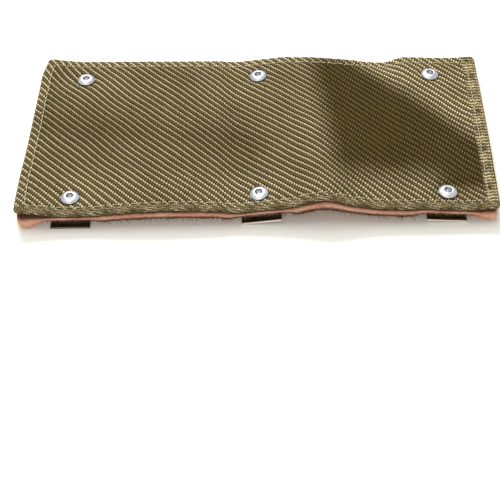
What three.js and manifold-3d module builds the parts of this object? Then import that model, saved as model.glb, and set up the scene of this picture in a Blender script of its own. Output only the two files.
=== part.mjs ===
import * as THREE from 'three';
import { mergeVertices } from 'three/addons/utils/BufferGeometryUtils.js';
import Module from 'manifold-3d';

// Flexible heat shield for an exhaust pipe, lying on the feet of its clamp straps.
// Lengths are in millimetres. X runs along the shield, -Y is the near edge, +Z points away from the pipe.

// Pad, as cut and sewn
const padLength = 304.8;
const padWidth = 152.4;
const fabricThickness = 1.5;
const hemFoldWidth = 12;
const hemStepRun = 0.8;
const cornerRadius = 3;
const endBow = 0.8;
const stitchInset = 6.6;

// Twill weave of the cover
const yarnPitch = 1.45;
const yarnsPerRepeat = 4;
const waleHeight = 0.8;

// Felt under the cover
const feltThickness = 3.2;
const feltInset = 0.8;
const feltRagDepth = 0.35;
const feltRagLength = 23;

// Sewing thread: round above the hem, pressed flat below it
const threadDiameter = 0.8;
const pressedThreadHeight = 0.4;

// Clamp straps, each folded from one strip
const strapWidth = 25.4;
const strapThickness = 1.2;
const strapStandOff = 4.8;
const strapBendRadius = 0.8;
const strapLegInset = 9.2;
const strapTipInset = 0.5;
const slotWidth = 16;
const slotTopMargin = 0.3;
const slotFootRun = 3.2;

// Blind rivets, two in each strap
const rivetEndInset = 32.4;
const centreStrapShift = 2.3;
const rivetNearInset = 14.2;
const rivetFarInset = 19.2;
const rivetShankDiameter = 4.8;
const rivetHeadDiameter = 12.2;
const rivetHeadHeight = 2.1;
const rivetRimHeight = 0.6;
const rivetCraterDiameter = 4.6;
const rivetCraterDepth = 0.8;
const rivetPress = 0.8;
const rivetDishSlope = 1.6;
const rivetBulbDiameter = 6.8;
const rivetBulbHeight = 2.2;
const mandrelDiameter = 2.7;
const mandrelHeadDiameter = 4.4;
const mandrelHeadHeight = 1.2;
const mandrelRecess = 0.5;

// Clearance between pieces that bear on each other
const seatGap = 0.3;

// How the pad lies: a ridge beside the centre strap, a low dome, and a dip at the far edge
const ridge = { x: 38, height: 6.3, taper: 3.2, skew: 4, reach: 20 };
const dome = { x: -62, height: 1.3, taper: 1.1, reach: 38 };
const dip = { x: 86, depth: 3.2, reach: 18, run: 40 };
const strapBlend = 16;
const strapMargin = 0.8;

// Tilt of each strap about Y in degrees, as the pad holds it
const strapTilts = { left: 0, centre: -7, right: 3.5 };

// How far the corners of the cover curl up, and the felt below them fans out downwards
const cornerReach = { cover: 30, felt: 18.5 };
const corners = [
  { x: -1, y: -1, coverLift: 3.4, feltTopDrop: 0.6, feltBottomDrop: 5.2 },
  { x: 1, y: -1, coverLift: 1.2, feltTopDrop: 0.3, feltBottomDrop: 3.1 },
  { x: -1, y: 1, coverLift: 3.0, feltTopDrop: 0.3, feltBottomDrop: 0.6 },
  { x: 1, y: 1, coverLift: 0.9, feltTopDrop: 0.3, feltBottomDrop: 0.6 },
];

// Mesh steps
const surfaceStep = 19;
const ridgeStep = 9;
const waleStep = 12.7;
const cornerSegments = 3;
const bendSegments = 3;
const roundSegments = 14;
const pinSegments = 8;
const threadSides = 3;
const farAway = 60;

// Sizes that follow from those above
const halfLength = padLength / 2;
const halfWidth = padWidth / 2;
const hemThickness = 2 * fabricThickness;
const webTop = strapStandOff + strapThickness;
const feltBottomLevel = webTop + seatGap;
const hemBottomRise = feltThickness + seatGap + pressedThreadHeight + seatGap;
const fieldBottomRise = hemBottomRise + fabricThickness;
const coverTopRise = hemBottomRise + hemThickness;
const rivetRows = { near: rivetNearInset - halfWidth, far: halfWidth - rivetFarInset };
const headSeat = feltBottomLevel + coverTopRise - rivetPress + seatGap;
const shankHoleRadius = rivetShankDiameter / 2 + seatGap;
const waleLineStep = (yarnPitch * yarnsPerRepeat) / 2;

const radians = THREE.MathUtils.degToRad;
const strapPlaces = [
  { name: 'left', x: rivetEndInset - halfLength },
  { name: 'centre', x: centreStrapShift },
  { name: 'right', x: halfLength - rivetEndInset },
].map((place) => {
  const tilt = radians(strapTilts[place.name]);
  return { ...place, tilt, lift: (strapWidth / 2) * Math.sin(Math.abs(tilt)) };
});

// Solids
const wasm = await Module();
wasm.setup();

function toSolid(geometry) {
  const bare = geometry.clone();
  bare.deleteAttribute('normal');
  bare.deleteAttribute('uv');
  const merged = mergeVertices(bare, 1e-4);
  return new wasm.Manifold(new wasm.Mesh({
    numProp: 3,
    vertProperties: new Float32Array(merged.attributes.position.array),
    triVerts: new Uint32Array(merged.index.array),
  }));
}

function closedGeometry(positions, triangles) {
  const geometry = new THREE.BufferGeometry();
  geometry.setAttribute('position', new THREE.BufferAttribute(new Float32Array(positions), 3));
  geometry.setIndex(new THREE.BufferAttribute(new Uint32Array(triangles), 1));
  return geometry;
}

function fromSolid(solid) {
  const mesh = solid.getMesh();
  return closedGeometry(mesh.vertProperties, mesh.triVerts);
}

function signedVolume(geometry) {
  const position = geometry.attributes.position;
  const index = geometry.index;
  const corner = [new THREE.Vector3(), new THREE.Vector3(), new THREE.Vector3()];
  let sum = 0;
  for (let i = 0; i < index.count; i += 3) {
    corner.forEach((point, n) => point.fromBufferAttribute(position, index.getX(i + n)));
    sum += corner[0].dot(corner[1].cross(corner[2]));
  }
  return sum / 6;
}

// The same surface with its faces turned to point out
function facingOut(geometry) {
  if (signedVolume(geometry) < 0) {
    const order = geometry.index.array;
    for (let i = 0; i < order.length; i += 3) {
      [order[i], order[i + 1]] = [order[i + 1], order[i]];
    }
  }
  return geometry;
}

// Shape of the pad as it lies
function smoothStep(t) {
  const s = Math.min(Math.max(t, 0), 1);
  return s * s * (3 - 2 * s);
}

function bell(distance, reach) {
  return Math.exp(-((distance / reach) ** 2));
}

function freeHeight(x, y) {
  const across = y / halfWidth;
  const ridgeOffset = (x - ridge.x + ridge.skew * across) / ridge.reach;
  const ridgePart = (ridge.height - ridge.taper * across) / (1 + ridgeOffset ** 2);
  const domePart = (dome.height - dome.taper * across) * bell(x - dome.x, dome.reach);
  const dipPart = dip.depth * bell(x - dip.x, dip.reach) * bell(y - halfWidth, dip.run);
  return ridgePart + domePart - dipPart;
}

// Height of the felt's underside: free between the straps and flat on each of them
function padHeight(x, y) {
  let height = feltBottomLevel + freeHeight(x, y);
  for (const place of strapPlaces) {
    const outside = Math.abs(x - place.x) - strapWidth / 2 - strapMargin;
    const hold = 1 - smoothStep(outside / strapBlend);
    const rise = (feltBottomLevel - (x - place.x) * Math.sin(place.tilt)) / Math.cos(place.tilt);
    height += hold * (place.lift + rise - height);
  }
  return height;
}

function cornerShare(corner, x, y, reach) {
  return smoothStep(1 - Math.hypot(x - corner.x * halfLength, y - corner.y * halfWidth) / reach);
}

function cornerSum(key, x, y, reach) {
  return corners.reduce((sum, corner) => sum + corner[key] * cornerShare(corner, x, y, reach), 0);
}

function coverBase(x, y) {
  return padHeight(x, y) + cornerSum('coverLift', x, y, cornerReach.cover);
}

// Distance in from the nearest edge of the pad
function inset(x, y) {
  return Math.min(halfLength - Math.abs(x), halfWidth - Math.abs(y));
}

// How far the felt fills the recess inside the folded hem
function fieldShare(x, y) {
  return Math.min(Math.max((inset(x, y) - hemFoldWidth) / hemStepRun, 0), 1);
}

function coverUnderside(x, y) {
  const rise = fieldBottomRise - hemBottomRise;
  return coverBase(x, y) + hemBottomRise + rise * fieldShare(x, y);
}

function coverTop(x, y) {
  return coverBase(x, y) + coverTopRise;
}

function feltTop(x, y) {
  const fill = fieldBottomRise - seatGap - feltThickness;
  const level = padHeight(x, y) + feltThickness + fill * fieldShare(x, y);
  return level - cornerSum('feltTopDrop', x, y, cornerReach.felt);
}

function feltUnderside(x, y) {
  return padHeight(x, y) - cornerSum('feltBottomDrop', x, y, cornerReach.felt);
}

// The wales run away from the near right towards the far left, with a crest every other line
function waledTop(x, y) {
  const line = Math.round((x + y) / waleLineStep);
  return coverTop(x, y) + (line % 2 === 0 ? waleHeight / 2 : -waleHeight / 2);
}

// Places in order, with the wide gaps between them shared into even steps
function breakpoints(places, stepAt) {
  const sorted = [...new Set(places)].sort((a, b) => a - b);
  const result = [sorted[0]];
  for (let i = 1; i < sorted.length; i += 1) {
    const from = sorted[i - 1];
    const count = Math.ceil((sorted[i] - from) / stepAt((sorted[i] + from) / 2));
    for (let n = 1; n <= count; n += 1) {
      result.push(from + ((sorted[i] - from) * n) / count);
    }
  }
  return result;
}

// A closed block between two height functions, on a grid of columns and rows
function gridBlock(columns, rows, place, top, bottom) {
  const positions = [];
  const triangles = [];
  const width = columns.length;
  const layer = width * rows.length;
  for (const height of [top, bottom]) {
    for (const row of rows) {
      for (const column of columns) {
        const [x, y] = place(column, row);
        positions.push(x, y, height(x, y));
      }
    }
  }
  const quad = (a, b, c, d) => triangles.push(a, b, c, a, c, d);
  for (let j = 0; j + 1 < rows.length; j += 1) {
    for (let i = 0; i + 1 < width; i += 1) {
      const a = j * width + i;
      quad(a, a + 1, a + width + 1, a + width);
      quad(a + layer, a + layer + width, a + layer + width + 1, a + layer + 1);
    }
    const left = j * width;
    const right = left + width - 1;
    quad(left, left + width, left + width + layer, left + layer);
    quad(right, right + layer, right + width + layer, right + width);
  }
  for (let i = 0; i + 1 < width; i += 1) {
    const far = (rows.length - 1) * width + i;
    quad(i, i + layer, i + 1 + layer, i + 1);
    quad(far, far + 1, far + 1 + layer, far + layer);
  }
  return facingOut(closedGeometry(positions, triangles));
}

// One ring round the pad at a distance in from its edge, with the same number of points at any distance
function ringPoints(ringInset) {
  const radius = Math.max(cornerRadius - ringInset, 0.3);
  const reachX = halfLength - ringInset - radius;
  const reachY = halfWidth - ringInset - radius;
  const clear = (place, half) => Math.abs(place) < half - stitchInset - 1;
  const sideX = surfaceColumns(halfLength).filter((x) => clear(x, halfLength));
  const sideY = surfaceRows(halfWidth).filter((y) => clear(y, halfWidth));
  const points = [];
  const corner = (signX, signY, start) => {
    for (let n = 0; n <= cornerSegments; n += 1) {
      const angle = start + (n / cornerSegments) * (Math.PI / 2);
      points.push([signX * reachX + radius * Math.cos(angle), signY * reachY + radius * Math.sin(angle)]);
    }
  };
  corner(1, 1, 0);
  [...sideX].reverse().forEach((x) => points.push([x, reachY + radius]));
  corner(-1, 1, Math.PI / 2);
  [...sideY].reverse().forEach((y) => points.push([-reachX - radius, y]));
  corner(-1, -1, Math.PI);
  sideX.forEach((x) => points.push([x, -reachY - radius]));
  corner(1, -1, 1.5 * Math.PI);
  sideY.forEach((y) => points.push([reachX + radius, y]));
  return points.map(([x, y]) => [x * (1 - (endBow / halfLength) * (y / halfWidth) ** 2), y]);
}

// A loft through rings round the pad. Each ring is [distance in, height(x, y)].
function ringLoft(rings, closed) {
  const positions = [];
  const triangles = [];
  const loops = rings.map(([ringInset]) => ringPoints(ringInset));
  const count = loops[0].length;
  loops.forEach((loop, n) => loop.forEach(([x, y]) => positions.push(x, y, rings[n][1](x, y))));
  const bands = closed ? rings.length : rings.length - 1;
  for (let band = 0; band < bands; band += 1) {
    const from = band * count;
    const to = ((band + 1) % rings.length) * count;
    for (let i = 0; i < count; i += 1) {
      const next = (i + 1) % count;
      triangles.push(from + i, from + next, to + next, from + i, to + next, to + i);
    }
  }
  if (!closed) {
    const outline = loops[0].map(([x, y]) => new THREE.Vector2(x, y));
    const lastRing = (rings.length - 1) * count;
    for (const [a, b, c] of THREE.ShapeUtils.triangulateShape(outline, [])) {
      triangles.push(c, b, a, lastRing + a, lastRing + b, lastRing + c);
    }
  }
  return facingOut(closedGeometry(positions, triangles));
}

// A bead along the stitch line, as a closed loop of even section
function stitchBead(width, height, sides, middle) {
  const rings = [];
  for (let n = 0; n < sides; n += 1) {
    const angle = Math.PI / 2 + (n / sides) * Math.PI * 2;
    const rise = (height / 2) * Math.sin(angle);
    rings.push([stitchInset + (width / 2) * Math.cos(angle), (x, y) => middle(x, y) + rise]);
  }
  return ringLoft(rings, true);
}

// The lock stitch: its needle thread lies on the wales and its bobbin thread under the hem
function needleThread() {
  const rise = waleHeight / 2 + seatGap + threadDiameter / 2;
  return stitchBead(threadDiameter, threadDiameter, threadSides, (x, y) => coverTop(x, y) + rise);
}

function bobbinThread() {
  const rise = feltThickness + seatGap + pressedThreadHeight / 2;
  return stitchBead(threadDiameter, pressedThreadHeight, threadSides, (x, y) => padHeight(x, y) + rise);
}

// A cutter made for one rivet, taken out of a solid at every rivet
function cutAtRivets(solid, makeCutter) {
  let result = solid;
  for (const place of strapPlaces) {
    for (const y of Object.values(rivetRows)) {
      const cutter = makeCutter();
      cutter.translate(0, y, 0);
      cutter.rotateY(place.tilt);
      cutter.translate(place.x, 0, place.lift);
      result = result.subtract(toSolid(cutter));
    }
  }
  return result;
}

// Clearance for the shank, long enough to pass through the whole pad
function shankDrill() {
  const drill = new THREE.CylinderGeometry(shankHoleRadius, shankHoleRadius, farAway, roundSegments);
  return drill.rotateX(Math.PI / 2);
}

// The dish that a rivet's flange presses into the cover
function headDish() {
  const radius = rivetHeadDiameter / 2 + seatGap;
  const floor = headSeat - seatGap;
  const rim = floor + rivetPress + waleHeight;
  return turnedPiece([
    [0, floor],
    [radius, floor],
    [radius + rivetDishSlope, rim],
    [0, rim],
  ], roundSegments);
}

// Woven cover with its edges folded under
function hemRings() {
  const half = hemThickness / 2;
  const rings = [[half, () => farAway]];
  for (const angle of [90, 45, 0, -45, -90].map(radians)) {
    const ringInset = half * (1 - Math.cos(angle));
    const rise = hemBottomRise + half * (1 + Math.sin(angle));
    rings.push([ringInset, (x, y) => coverBase(x, y) + rise]);
  }
  rings.push([half, () => -farAway]);
  return rings;
}

function surfaceColumns(reach) {
  const places = [-reach, reach];
  for (const side of [-1, 1]) {
    places.push(side * (halfLength - hemFoldWidth), side * (halfLength - hemFoldWidth - hemStepRun));
    places.push(side * (halfLength - cornerReach.felt / 3));
  }
  for (const place of strapPlaces) {
    places.push(place.x - strapWidth / 2 - strapMargin, place.x + strapWidth / 2 + strapMargin);
  }
  const nearRidge = (x) => Math.abs(x - ridge.x) < 1.3 * ridge.reach;
  return breakpoints(places, (x) => (nearRidge(x) ? ridgeStep : surfaceStep));
}

function surfaceRows(reach) {
  const places = [-reach, reach];
  for (const side of [-1, 1]) {
    places.push(side * (halfWidth - hemFoldWidth), side * (halfWidth - hemFoldWidth - hemStepRun));
    places.push(side * (halfWidth - cornerReach.felt / 3));
  }
  return breakpoints(places, () => surfaceStep);
}

function outerCover() {
  const reachY = halfWidth + hemThickness;
  const lines = Math.ceil((halfLength + halfWidth + 2 * hemThickness) / waleLineStep);
  const columns = [];
  for (let line = -lines; line <= lines; line += 1) {
    columns.push(line * waleLineStep);
  }
  const rows = breakpoints([-reachY, reachY], () => waleStep);
  const along = (sum, y) => [sum - y, y];
  const waled = toSolid(gridBlock(columns, rows, along, waledTop, () => -farAway));
  const outline = toSolid(ringLoft(hemRings(), false));
  const square = (x, y) => [x, y];
  const below = toSolid(gridBlock(
    surfaceColumns(halfLength + hemThickness),
    surfaceRows(reachY),
    square,
    coverUnderside,
    () => -2 * farAway,
  ));
  const pad = waled.intersect(outline).subtract(below);
  return fromSolid(cutAtRivets(cutAtRivets(pad, headDish), shankDrill));
}

// Needled felt, with an uneven cut edge
function insulationFelt() {
  const edge = feltInset + feltRagDepth;
  const rag = (along) => feltRagDepth * Math.sin((2 * Math.PI * along) / feltRagLength);
  const square = (x, y) => {
    const edgeX = smoothStep((Math.abs(x) - halfLength + cornerRadius + edge) / cornerRadius);
    const edgeY = smoothStep((Math.abs(y) - halfWidth + cornerRadius + edge) / cornerRadius);
    return [x + Math.sign(x) * edgeX * rag(y), y + Math.sign(y) * edgeY * rag(x)];
  };
  const block = gridBlock(
    surfaceColumns(halfLength - edge),
    surfaceRows(halfWidth - edge),
    square,
    feltTop,
    feltUnderside,
  );
  return fromSolid(cutAtRivets(toSolid(block), shankDrill));
}

// Clamp strap: a flat web with a joggled foot at each end.
// A slot for the clamp band runs down each leg and a little way into the foot.
function strapCentreLine() {
  const bend = strapBendRadius + strapThickness / 2;
  const legY = halfWidth - strapLegInset;
  const webZ = strapStandOff + strapThickness / 2;
  const footZ = strapThickness / 2;
  const points = [];
  const arc = (y, z, from, to) => {
    for (let n = 0; n <= bendSegments; n += 1) {
      const angle = radians(from + ((to - from) * n) / bendSegments);
      points.push({ y: y + bend * Math.cos(angle), z: z + bend * Math.sin(angle), angle, turn: to - from });
    }
  };
  arc(legY - bend, webZ - bend, 90, 0);
  arc(legY + bend, footZ + bend, 180, 270);
  return points;
}

function strapProfile() {
  const half = strapThickness / 2;
  const tipY = halfWidth - strapTipInset;
  const outer = [];
  const inner = [];
  for (const point of strapCentreLine()) {
    const away = point.turn < 0 ? half : -half;
    const step = [away * Math.cos(point.angle), away * Math.sin(point.angle)];
    outer.push([point.y + step[0], point.z + step[1]]);
    inner.push([point.y - step[0], point.z - step[1]]);
  }
  outer.push([tipY, strapThickness]);
  inner.push([tipY, 0]);
  const farHalf = [...outer, ...inner.reverse()];
  const nearHalf = farHalf.map(([y, z]) => [-y, z]).reverse();
  return new THREE.Shape([...farHalf, ...nearHalf].map(([y, z]) => new THREE.Vector2(y, z)));
}

function clampStrap() {
  const geometry = new THREE.ExtrudeGeometry(strapProfile(), { depth: strapWidth, bevelEnabled: false });
  geometry.translate(0, 0, -strapWidth / 2);
  const turned = new THREE.Matrix4().makeBasis(
    new THREE.Vector3(0, 1, 0),
    new THREE.Vector3(0, 0, 1),
    new THREE.Vector3(1, 0, 0),
  );
  geometry.applyMatrix4(turned);
  let solid = toSolid(geometry);
  const slotHeight = 2 * (strapStandOff - slotTopMargin);
  for (const side of [-1, 1]) {
    const slot = new THREE.BoxGeometry(slotWidth, 2 * slotFootRun, slotHeight);
    slot.translate(0, side * (halfWidth - strapLegInset), 0);
    solid = solid.subtract(toSolid(slot));
  }
  for (const y of Object.values(rivetRows)) {
    solid = solid.subtract(toSolid(shankDrill().translate(0, y, 0)));
  }
  return fromSolid(solid);
}

// Blind rivet: domed flange over the cover, and a bulb drawn up under the strap
function turnedPiece(profile, segments) {
  const points = profile.map(([radius, height]) => new THREE.Vector2(radius, height));
  const geometry = new THREE.LatheGeometry(points, segments);
  geometry.rotateX(Math.PI / 2);
  geometry.deleteAttribute('normal');
  geometry.deleteAttribute('uv');
  return facingOut(mergeVertices(geometry, 1e-4));
}

const bulbTop = strapStandOff - seatGap;
const bulbBottom = bulbTop - rivetBulbHeight;
const headTop = headSeat + rivetHeadHeight;

function rivetBody() {
  const bore = mandrelDiameter / 2 + seatGap;
  const shank = rivetShankDiameter / 2;
  const head = rivetHeadDiameter / 2;
  const crater = rivetCraterDiameter / 2;
  const bulb = rivetBulbDiameter / 2;
  const shoulder = (head + crater) / 2;
  const start = [bore, bulbBottom];
  return turnedPiece([
    start,
    [bulb * 0.8, bulbBottom],
    [bulb, bulbBottom + rivetBulbHeight / 2],
    [bulb * 0.8, bulbTop],
    [shank, bulbTop],
    [shank, headSeat],
    [head, headSeat],
    [head, headSeat + rivetRimHeight],
    [shoulder, headTop - rivetCraterDepth / 3],
    [crater, headTop],
    [bore, headTop - rivetCraterDepth],
    start,
  ], roundSegments);
}

function mandrelStub() {
  const pin = mandrelDiameter / 2;
  const head = mandrelHeadDiameter / 2;
  const headLow = bulbBottom - seatGap - mandrelHeadHeight;
  return turnedPiece([
    [0, headLow],
    [head * 0.7, headLow],
    [head, headLow + mandrelHeadHeight / 2],
    [head, bulbBottom - seatGap],
    [pin, bulbBottom - seatGap],
    [pin, headTop - mandrelRecess - pin / 3],
    [0, headTop - mandrelRecess],
  ], pinSegments);
}

// Finishes
const finishes = {
  cover: new THREE.MeshStandardMaterial({ color: 0x75663a, roughness: 0.6, metalness: 0.25 }),
  felt: new THREE.MeshStandardMaterial({ color: 0xe39c7c, roughness: 0.95, metalness: 0 }),
  thread: new THREE.MeshStandardMaterial({ color: 0xc9bd8e, roughness: 0.7, metalness: 0 }),
  strap: new THREE.MeshStandardMaterial({ color: 0xb5b0a4, roughness: 0.35, metalness: 1 }),
  rivet: new THREE.MeshStandardMaterial({ color: 0xd9dadd, roughness: 0.28, metalness: 1 }),
  mandrel: new THREE.MeshStandardMaterial({ color: 0x8f8f92, roughness: 0.45, metalness: 1 }),
};

function piece(name, geometry, finish) {
  geometry.computeVertexNormals();
  const mesh = new THREE.Mesh(geometry, finish);
  mesh.name = name;
  return mesh;
}

// Assembly
const shield = new THREE.Group();
shield.add(piece('outer_cover', outerCover(), finishes.cover));
shield.add(piece('insulation_felt', insulationFelt(), finishes.felt));
shield.add(piece('needle_thread', needleThread(), finishes.thread));
shield.add(piece('bobbin_thread', bobbinThread(), finishes.thread));

for (const place of strapPlaces) {
  const station = new THREE.Group();
  station.position.set(place.x, 0, place.lift);
  station.rotation.y = place.tilt;
  station.add(piece(`strap_${place.name}`, clampStrap(), finishes.strap));
  for (const [end, y] of Object.entries(rivetRows)) {
    const body = piece(`rivet_${place.name}_${end}`, rivetBody(), finishes.rivet);
    const stub = piece(`mandrel_${place.name}_${end}`, mandrelStub(), finishes.mandrel);
    body.position.y = y;
    stub.position.y = y;
    station.add(body, stub);
  }
  shield.add(station);
}

export default shield;
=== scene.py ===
import bpy
import numpy as np
from mathutils import Matrix

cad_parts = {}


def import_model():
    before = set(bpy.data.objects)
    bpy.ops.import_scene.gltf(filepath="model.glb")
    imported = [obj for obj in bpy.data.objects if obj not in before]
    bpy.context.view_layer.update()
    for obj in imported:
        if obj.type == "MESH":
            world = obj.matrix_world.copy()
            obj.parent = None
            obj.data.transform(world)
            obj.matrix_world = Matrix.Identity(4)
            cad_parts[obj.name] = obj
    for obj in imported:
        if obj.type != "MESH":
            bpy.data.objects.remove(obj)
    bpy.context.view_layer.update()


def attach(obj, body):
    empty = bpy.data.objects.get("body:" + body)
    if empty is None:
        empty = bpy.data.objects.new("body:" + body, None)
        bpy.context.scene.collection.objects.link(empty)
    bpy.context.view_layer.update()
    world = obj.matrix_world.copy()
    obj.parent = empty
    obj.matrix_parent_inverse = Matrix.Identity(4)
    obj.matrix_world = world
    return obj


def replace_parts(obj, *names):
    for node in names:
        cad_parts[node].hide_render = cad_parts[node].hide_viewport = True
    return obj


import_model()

# Lengths are in millimetres up to the meshes, which are in metres
MM = 0.001
rng = np.random.default_rng(7)

# Pad
HALF_LENGTH = 152.4
HALF_WIDTH = 76.2
END_BOW = 0.8
FABRIC = 1.5
STITCH_INSET = 6.6
YARN_PITCH = 1.45
HEM_FOLD = 12.0
COVER_TOP_RISE = 7.2
HEM_BOTTOM_RISE = 4.2
FELT_THICKNESS = 3.2
FELT_CLEARANCE = 0.4
FIBRE_COUNT = 5200

# Clamp straps
STRAP_WIDTH = 25.4
STRAP_THICKNESS = 1.2
STRAP_STAND_OFF = 4.8
STRAP_BEND = 0.8
STRAP_LEG_INSET = 9.2
STRAP_TIP_INSET = 0.5
SLOT_WIDTH = 16.0
SLOT_TOP = 4.5
SLOT_FOOT_RUN = 3.2
LEFT_FOOT_RUN = 3.2
LEFT_FOOT_REACH = 1.4
FELT_BOTTOM = 6.3

# Rivets
RIVET_ROWS = {"near": -62.0, "far": 57.0}
HEAD_SEAT = 13.0
HEAD_RADIUS = 6.1
HEAD_HEIGHT = 2.1

# Strap places along X, their tilt about Y and the lift that keeps a foot down
STRAPS = []
for name, x, degrees in [("left", -120.0, 0.0), ("centre", 2.3, -7.0), ("right", 120.0, 3.5)]:
    tilt = np.radians(degrees)
    STRAPS.append((name, x, tilt, STRAP_WIDTH / 2 * np.sin(abs(tilt))))

# Corners: side in x and y, lift of the cover, drop of the felt's top and bottom
CORNERS = [
    (-1, -1, 3.4, 0.6, 5.2),
    (1, -1, 1.2, 0.3, 3.1),
    (-1, 1, 3.0, 0.3, 0.6),
    (1, 1, 0.9, 0.3, 0.6),
]


# How the pad lies
def smooth_step(t):
    t = np.clip(t, 0, 1)
    return t * t * (3 - 2 * t)


def bell(distance, reach):
    return np.exp(-((distance / reach) ** 2))


def free_height(x, y):
    across = y / HALF_WIDTH
    ridge = (6.3 - 3.2 * across) / (1 + ((x - 38 + 4 * across) / 20) ** 2)
    dome = (1.3 - 1.1 * across) * bell(x + 62, 38)
    dip = 3.2 * bell(x - 86, 18) * bell(y - HALF_WIDTH, 14)
    return ridge + dome - dip


def pad_height(x, y):
    height = FELT_BOTTOM + free_height(x, y)
    for _, place, tilt, lift in STRAPS:
        outside = np.abs(x - place) - STRAP_WIDTH / 2 - 0.8
        hold = 1 - smooth_step(outside / 16)
        rise = (FELT_BOTTOM - (x - place) * np.sin(tilt)) / np.cos(tilt)
        height = height + hold * (lift + rise - height)
    return height


def corner_share(x, y, side_x, side_y, reach):
    away = np.hypot(x - side_x * HALF_LENGTH, y - side_y * HALF_WIDTH)
    return smooth_step(1 - away / reach)


def cover_base(x, y):
    height = pad_height(x, y)
    for side_x, side_y, lift, _, _ in CORNERS:
        height = height + lift * corner_share(x, y, side_x, side_y, 30)
    return height


def rivet_distance(x, y):
    nearest = np.full(np.broadcast(x, y).shape, 1e3)
    for _, place, tilt, _ in STRAPS:
        for row in RIVET_ROWS.values():
            nearest = np.minimum(nearest, np.hypot(x - place - HEAD_SEAT * np.sin(tilt), y - row))
    return nearest


def inset(x, y):
    return np.minimum(HALF_LENGTH - np.abs(x), HALF_WIDTH - np.abs(y))


def ripple(x, y, length, seed):
    """A gentle uneven wave, the same each run."""
    turn = np.random.default_rng(seed).uniform(0, 2 * np.pi, 6)
    total = np.sin(x / length * 2.1 + turn[0]) * np.sin(y / length * 1.7 + turn[1])
    total = total + 0.6 * np.sin((x + y) / length * 3.7 + turn[2]) * np.sin((x - y) / length * 2.9 + turn[3])
    return total + 0.4 * np.sin(x / length * 6.1 + turn[4]) * np.sin(y / length * 7.3 + turn[5])


def bow(x, y):
    return x * (1 - END_BOW / HALF_LENGTH * (y / HALF_WIDTH) ** 2)


# How far each corner of the pad is drawn out of square: side in x and y, shift in x and y
DRAWN = [(-1, -1, -2.4, -1.9), (1, -1, 0.9, -0.9), (-1, 1, 0.4, 2.4), (1, 1, 2.5, 0.5)]


def pulled(x, y):
    """A place on the plan of the pad, as sewn a little out of square."""
    new_x, new_y = bow(x, y), y + 0.0 * x
    for side_x, side_y, shift_x, shift_y in DRAWN:
        along = smooth_step((side_x * x / HALF_LENGTH + 0.1) / 1.1)
        share = along * np.clip(0.5 + 0.5 * side_y * y / HALF_WIDTH, 0, 1)
        new_x = new_x + shift_x * share
        new_y = new_y + shift_y * share
    left_end = smooth_step((-x - 110) / 40)
    new_x = new_x + left_end * (2.7 * smooth_step((y - 56) / 20) - 1.3 * bell(y + 46, 24))
    return new_x, new_y


# Meshes
def make_mesh(name, points, faces, material, uv=None, smooth=True, fields=None):
    """An object from points in millimetres and faces of equal length, or a list of such face arrays."""
    groups = faces if isinstance(faces, list) else [faces]
    mesh = bpy.data.meshes.new(name)
    points = np.asarray(points, np.float32)
    mesh.vertices.add(len(points))
    mesh.vertices.foreach_set("co", (points * MM).ravel())
    corners = np.concatenate([np.asarray(g, np.int32).ravel() for g in groups])
    sizes = np.concatenate([np.full(len(g), np.asarray(g).shape[1], np.int32) for g in groups])
    starts = np.concatenate([[0], np.cumsum(sizes)[:-1]]).astype(np.int32)
    mesh.loops.add(len(corners))
    mesh.loops.foreach_set("vertex_index", corners)
    mesh.polygons.add(len(sizes))
    mesh.polygons.foreach_set("loop_start", starts)
    mesh.polygons.foreach_set("use_smooth", np.full(len(sizes), smooth))
    if uv is not None:
        layer = mesh.uv_layers.new(name="UVMap")
        layer.data.foreach_set("uv", np.asarray(uv, np.float32)[corners].ravel())
    for field, values in (fields or {}).items():
        made = mesh.attributes.new(field, "FLOAT", "POINT")
        made.data.foreach_set("value", np.asarray(values, np.float32).ravel())
    mesh.update(calc_edges=True)
    mesh.validate()
    mesh.materials.append(material)
    piece = bpy.data.objects.new(name, mesh)
    bpy.context.scene.collection.objects.link(piece)
    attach(piece, "root")
    return piece


def grid_faces(rows, columns, closed=False, offset=0):
    """Quads of a grid of rows by columns, closed round the columns if asked."""
    r = np.arange(rows - 1)[:, None]
    c = np.arange(columns if closed else columns - 1)[None, :]
    after = (c + 1) % columns
    quads = np.stack(
        [r * columns + c, r * columns + after, (r + 1) * columns + after, (r + 1) * columns + c], -1
    )
    return quads.reshape(-1, 4) + offset


# Materials
def new_material(name):
    material = bpy.data.materials.new(name)
    material.use_nodes = True
    nodes = material.node_tree.nodes
    return material, nodes, material.node_tree.links, nodes["Principled BSDF"]


def noise(nodes, links, vector, scale, detail=2.0, stretch=None):
    texture = nodes.new("ShaderNodeTexNoise")
    texture.inputs["Scale"].default_value = scale
    texture.inputs["Detail"].default_value = detail
    if stretch is not None:
        mapping = nodes.new("ShaderNodeMapping")
        mapping.inputs["Scale"].default_value = stretch
        links.new(vector, mapping.inputs["Vector"])
        vector = mapping.outputs["Vector"]
    links.new(vector, texture.inputs["Vector"])
    return texture.outputs["Fac"]


def ramp(nodes, links, factor, stops):
    node = nodes.new("ShaderNodeValToRGB")
    elements = node.color_ramp.elements
    while len(elements) < len(stops):
        elements.new(0.5)
    for element, (place, colour) in zip(elements, stops):
        element.position = place
        element.color = (*colour, 1)
    links.new(factor, node.inputs["Fac"])
    return node.outputs["Color"]


def mix(nodes, links, factor, first, second, blend="MIX"):
    node = nodes.new("ShaderNodeMix")
    node.data_type = "RGBA"
    node.blend_type = blend
    if isinstance(factor, float):
        node.inputs[0].default_value = factor
    else:
        links.new(factor, node.inputs[0])
    for socket, value in ((node.inputs[6], first), (node.inputs[7], second)):
        if isinstance(value, tuple):
            socket.default_value = (*value, 1)
        else:
            links.new(value, socket)
    return node.outputs[2]


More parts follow.
